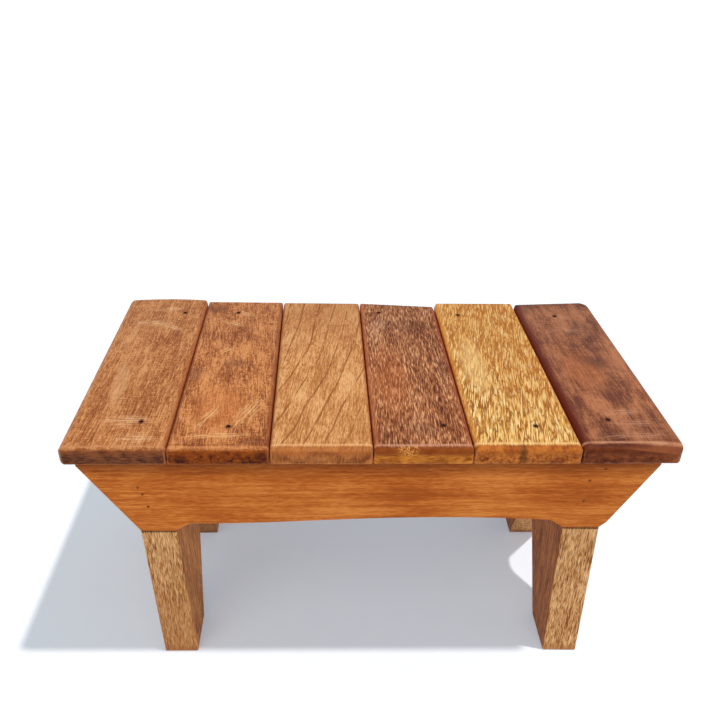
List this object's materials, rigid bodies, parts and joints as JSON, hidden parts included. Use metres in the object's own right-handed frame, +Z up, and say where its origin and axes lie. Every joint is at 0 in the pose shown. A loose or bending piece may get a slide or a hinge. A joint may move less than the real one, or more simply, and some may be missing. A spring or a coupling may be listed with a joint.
{
  "type": "wooden stool",
  "caption": "Low rustic wooden stool: slats of mixed hardwoods nailed across front and rear aprons, let into upright end boards that are notched into feet.",
  "frame": {"origin": "on the floor, under the middle of the seat", "axes": "+X to the right along the seat's length, +Y from the front apron to the rear apron, +Z up"},
  "size_m": [0.421, 0.2332, 0.2248],
  "materials": {
    "warm_brown_hardwood": "satin varnish",
    "orange_brown_hardwood": "satin varnish",
    "honey_hardwood": "satin varnish",
    "red_brown_hardwood": "satin varnish",
    "golden_hardwood": "satin varnish",
    "mahogany_hardwood": "satin varnish",
    "orange_softwood": "satin varnish",
    "coarse_tan_hardwood": "satin varnish",
    "dark_steel": "dull, darkened",
    "wood_filler": "matt"
  },
  "bodies": {
    "root": {"seat_slat_1": "warm_brown_hardwood", "seat_slat_2": "orange_brown_hardwood", "seat_slat_3": "honey_hardwood", "seat_slat_4": "red_brown_hardwood", "seat_slat_5": "golden_hardwood", "seat_slat_6": "mahogany_hardwood", "front_apron": "orange_softwood", "rear_apron": "orange_softwood", "left_end_board": "coarse_tan_hardwood", "right_end_board": "coarse_tan_hardwood", "front_slat_nails": "dark_steel", "rear_slat_nails": "dark_steel", "front_apron_nails": "dark_steel", "rear_apron_nails": "dark_steel", "nail_hole_fillers": "wood_filler"}
  },
  "joints": []
}
